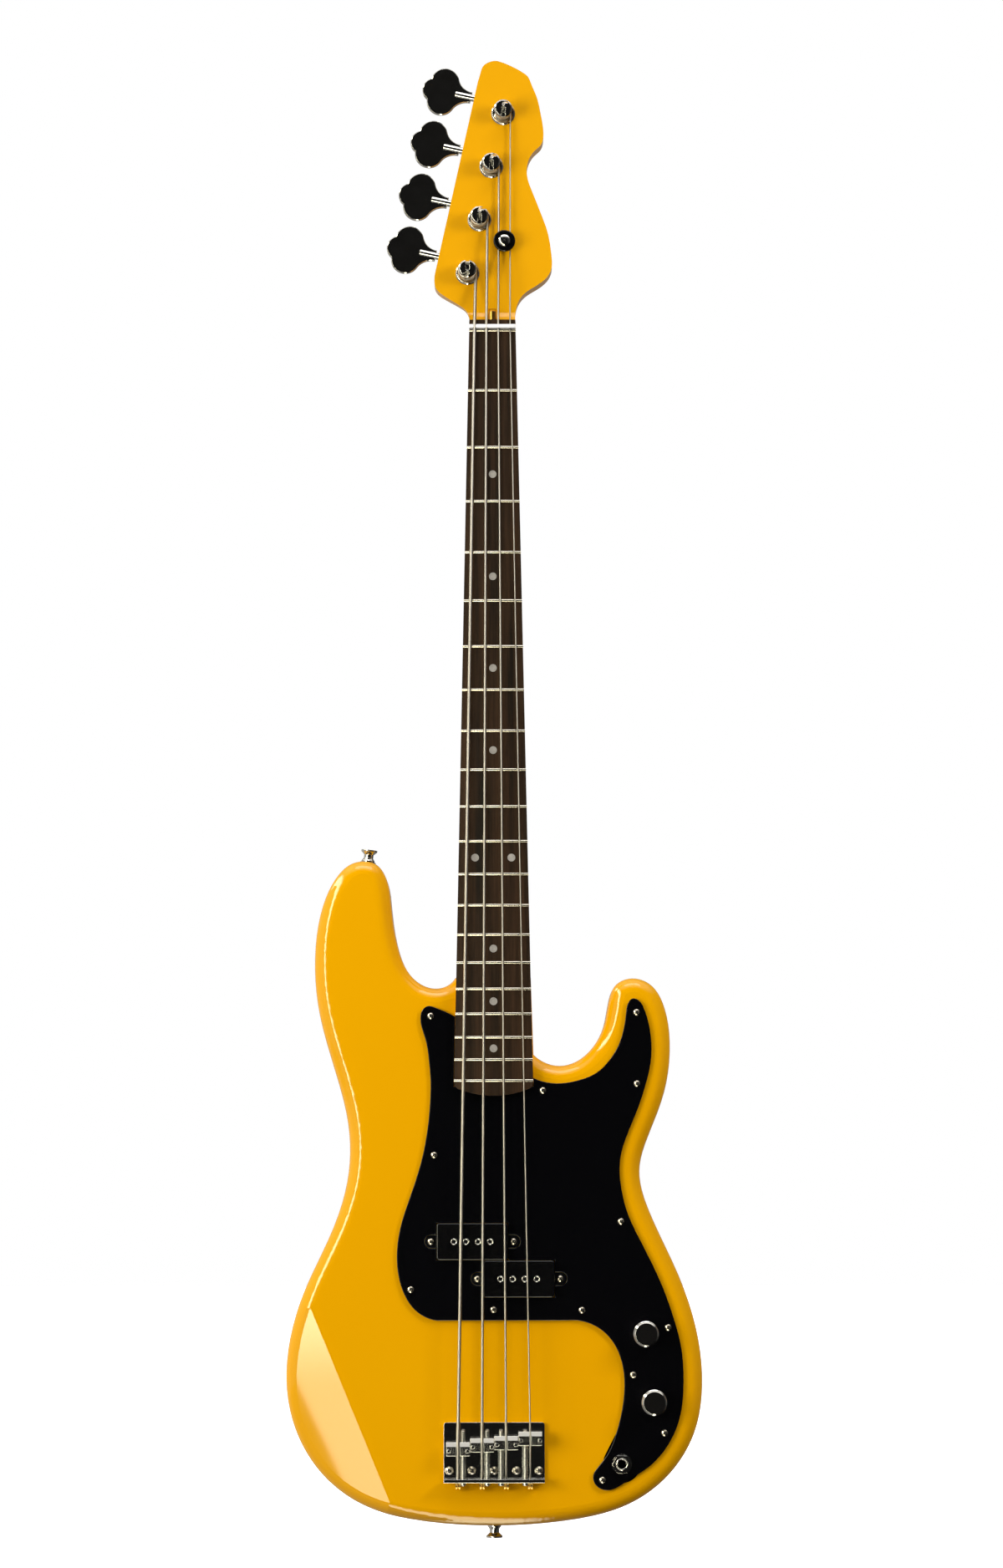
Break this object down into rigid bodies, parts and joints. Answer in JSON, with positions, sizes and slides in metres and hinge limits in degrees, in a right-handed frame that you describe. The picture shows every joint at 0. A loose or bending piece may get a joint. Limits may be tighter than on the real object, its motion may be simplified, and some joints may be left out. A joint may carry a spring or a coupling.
{
  "type": "electric bass guitar",
  "caption": "Solid-body electric bass guitar with bolt-on neck, geared tuners, split pickup, adjustable bridge, two control knobs and an output jack.",
  "frame": {"origin": "on the centre line at the scale's zero point, on the neck's flat top under the fretboard, where a wall hanger holds the neck", "axes": "+Z along the neck to the headstock, -Y out of the strings' side, +X to the thin-string side"},
  "size_m": [0.3204, 0.0659, 1.1656],
  "materials": {
    "body_lacquer": "clear gloss lacquer over amber-yellow stained wood",
    "maple": "satin lacquered maple, headstock face yellow",
    "rosewood": "oiled open-grained rosewood",
    "fret_wire": "polished nickel silver",
    "pearl_dot": "pale pearl plastic",
    "bone": "polished bone",
    "steel": "zinc-plated steel",
    "chrome": "bright chrome",
    "black_button": "gloss black",
    "guard_black": "gloss black sheet",
    "cover_black": "gloss black moulding",
    "pole_steel": "bare magnet rod ends over dark coil",
    "felt": "black felt",
    "foam": "grey foam",
    "wire_cover": "cloth-covered wire",
    "string_wire": "roundwound steel",
    "brass": "machined brass"
  },
  "bodies": {
    "instrument": {"body": "body_lacquer", "neck": "maple", "fretboard": "rosewood", "frets": "fret_wire", "position_markers": "pearl_dot", "nut": "bone", "truss_rod": "steel", "string_tree": "black_button", "tuner_plates": "chrome", "tuner_bushings": "chrome", "tuner_screws": "chrome", "pickguard": "guard_black", "pickguard_screws": "chrome", "neck_plate": "chrome", "neck_screws": "chrome", "strap_buttons": "chrome", "strap_screws": "chrome", "strap_felts": "felt", "bridge_plate": "chrome", "bridge_screws": "chrome", "volume_pot": "steel", "tone_pot": "steel", "control_nuts": "chrome", "output_jack": "steel", "wiring": "wire_cover", "pickup_foam": "foam", "string_e": "string_wire", "string_a": "string_wire", "string_d": "string_wire", "string_g": "string_wire", "intonation_springs": "steel"},
    "truss_nut": {"truss_rod_nut": "steel"},
    "key_e": {"tuner_key_e": "chrome"},
    "post_e": {"tuner_post_e": "chrome", "tuner_gear_e": "brass"},
    "key_a": {"tuner_key_a": "chrome"},
    "post_a": {"tuner_post_a": "chrome", "tuner_gear_a": "brass"},
    "key_d": {"tuner_key_d": "chrome"},
    "post_d": {"tuner_post_d": "chrome", "tuner_gear_d": "brass"},
    "key_g": {"tuner_key_g": "chrome"},
    "post_g": {"tuner_post_g": "chrome", "tuner_gear_g": "brass"},
    "saddle_e": {"saddle_e": "chrome"},
    "intonation_e": {"intonation_screw_e": "steel"},
    "saddle_a": {"saddle_a": "chrome"},
    "intonation_a": {"intonation_screw_a": "steel"},
    "saddle_d": {"saddle_d": "chrome"},
    "intonation_d": {"intonation_screw_d": "steel"},
    "saddle_g": {"saddle_g": "chrome"},
    "intonation_g": {"intonation_screw_g": "steel"},
    "volume_control": {"volume_knob": "chrome"},
    "tone_control": {"tone_knob": "chrome"},
    "pickup_bass": {"pickup_cover_bass": "cover_black", "pickup_coil_bass": "pole_steel", "pickup_screws_bass": "chrome"},
    "pickup_treble": {"pickup_cover_treble": "cover_black", "pickup_coil_treble": "pole_steel", "pickup_screws_treble": "chrome"}
  },
  "joints": [
    {"name": "truss_nut_turn", "type": "hinge", "parent": "instrument", "child": "truss_nut", "pos_m": [0, 0.0042, 0.0091], "axis": [0, 0, 1], "range_deg": [-360, 360]},
    {"name": "key_e_turn", "type": "hinge", "parent": "instrument", "child": "key_e", "pos_m": [-0.01672, 0.0275, 0.06338], "axis": [0.977, 0, -0.213], "continuous": true},
    {"name": "post_e_turn", "type": "hinge", "parent": "instrument", "child": "post_e", "pos_m": [-0.0197, 0.0065, 0.0497], "axis": [0, -1, 0], "continuous": true, "deforming": ["string_e"]},
    {"name": "key_a_turn", "type": "hinge", "parent": "instrument", "child": "key_a", "pos_m": [-0.0072, 0.0275, 0.10705], "axis": [0.977, 0, -0.213], "continuous": true},
    {"name": "post_a_turn", "type": "hinge", "parent": "instrument", "child": "post_a", "pos_m": [-0.01018, 0.0065, 0.09337], "axis": [0, -1, 0], "continuous": true, "deforming": ["string_a"]},
    {"name": "key_d_turn", "type": "hinge", "parent": "instrument", "child": "key_d", "pos_m": [0.00233, 0.0275, 0.15073], "axis": [0.977, 0, -0.213], "continuous": true},
    {"name": "post_d_turn", "type": "hinge", "parent": "instrument", "child": "post_d", "pos_m": [-0.00065, 0.0065, 0.13705], "axis": [0, -1, 0], "continuous": true, "deforming": ["string_d"]},
    {"name": "key_g_turn", "type": "hinge", "parent": "instrument", "child": "key_g", "pos_m": [0.01185, 0.0275, 0.1944], "axis": [0.977, 0, -0.213], "continuous": true},
    {"name": "post_g_turn", "type": "hinge", "parent": "instrument", "child": "post_g", "pos_m": [0.00887, 0.0065, 0.18072], "axis": [0, -1, 0], "continuous": true, "deforming": ["string_g"]},
    {"name": "intonation_e_turn", "type": "hinge", "parent": "instrument", "child": "intonation_e", "pos_m": [-0.02363, -0.006, -0.8962], "axis": [0, 0, 1], "range_deg": [-1440, 1440]},
    {"name": "saddle_e_slide", "type": "slide", "parent": "instrument", "child": "saddle_e", "axis": [0, 0, 1], "range_m": [-0.002, 0.002], "deforming": ["intonation_springs", "string_e"]},
    {"name": "intonation_a_turn", "type": "hinge", "parent": "instrument", "child": "intonation_a", "pos_m": [-0.00528, -0.006, -0.8962], "axis": [0, 0, 1], "range_deg": [-1440, 1440]},
    {"name": "saddle_a_slide", "type": "slide", "parent": "instrument", "child": "saddle_a", "axis": [0, 0, 1], "range_m": [-0.002, 0.002], "deforming": ["intonation_springs", "string_a"]},
    {"name": "intonation_d_turn", "type": "hinge", "parent": "instrument", "child": "intonation_d", "pos_m": [0.00528, -0.006, -0.8962], "axis": [0, 0, 1], "range_deg": [-1440, 1440]},
    {"name": "saddle_d_slide", "type": "slide", "parent": "instrument", "child": "saddle_d", "axis": [0, 0, 1], "range_m": [-0.002, 0.002], "deforming": ["intonation_springs", "string_d"]},
    {"name": "intonation_g_turn", "type": "hinge", "parent": "instrument", "child": "intonation_g", "pos_m": [0.02363, -0.006, -0.8962], "axis": [0, 0, 1], "range_deg": [-1440, 1440]},
    {"name": "saddle_g_slide", "type": "slide", "parent": "instrument", "child": "saddle_g", "axis": [0, 0, 1], "range_m": [-0.002, 0.002], "deforming": ["intonation_springs", "string_g"]},
    {"name": "volume_turn", "type": "hinge", "parent": "instrument", "child": "volume_control", "pos_m": [0.1161, 0.001, -0.7846], "axis": [0, -1, 0], "range_deg": [-150, 150]},
    {"name": "tone_turn", "type": "hinge", "parent": "instrument", "child": "tone_control", "pos_m": [0.122, 0.001, -0.8362], "axis": [0, -1, 0], "range_deg": [-150, 150]},
    {"name": "pickup_bass_height", "type": "slide", "parent": "instrument", "child": "pickup_bass", "axis": [0, -1, 0], "range_m": [-0.0015, 0.002]},
    {"name": "pickup_treble_height", "type": "slide", "parent": "instrument", "child": "pickup_treble", "axis": [0, -1, 0], "range_m": [-0.0015, 0.002]}
  ],
  "couplings": [
    {"joint": "post_e_turn", "follows": "key_e_turn", "ratio": 0.05},
    {"joint": "post_a_turn", "follows": "key_a_turn", "ratio": 0.05},
    {"joint": "post_d_turn", "follows": "key_d_turn", "ratio": 0.05},
    {"joint": "post_g_turn", "follows": "key_g_turn", "ratio": 0.05},
    {"joint": "intonation_e_turn", "follows": "saddle_e_slide", "rad_per_m": 12566},
    {"joint": "intonation_a_turn", "follows": "saddle_a_slide", "rad_per_m": 12566},
    {"joint": "intonation_d_turn", "follows": "saddle_d_slide", "rad_per_m": 12566},
    {"joint": "intonation_g_turn", "follows": "saddle_g_slide", "rad_per_m": 12566}
  ]
}
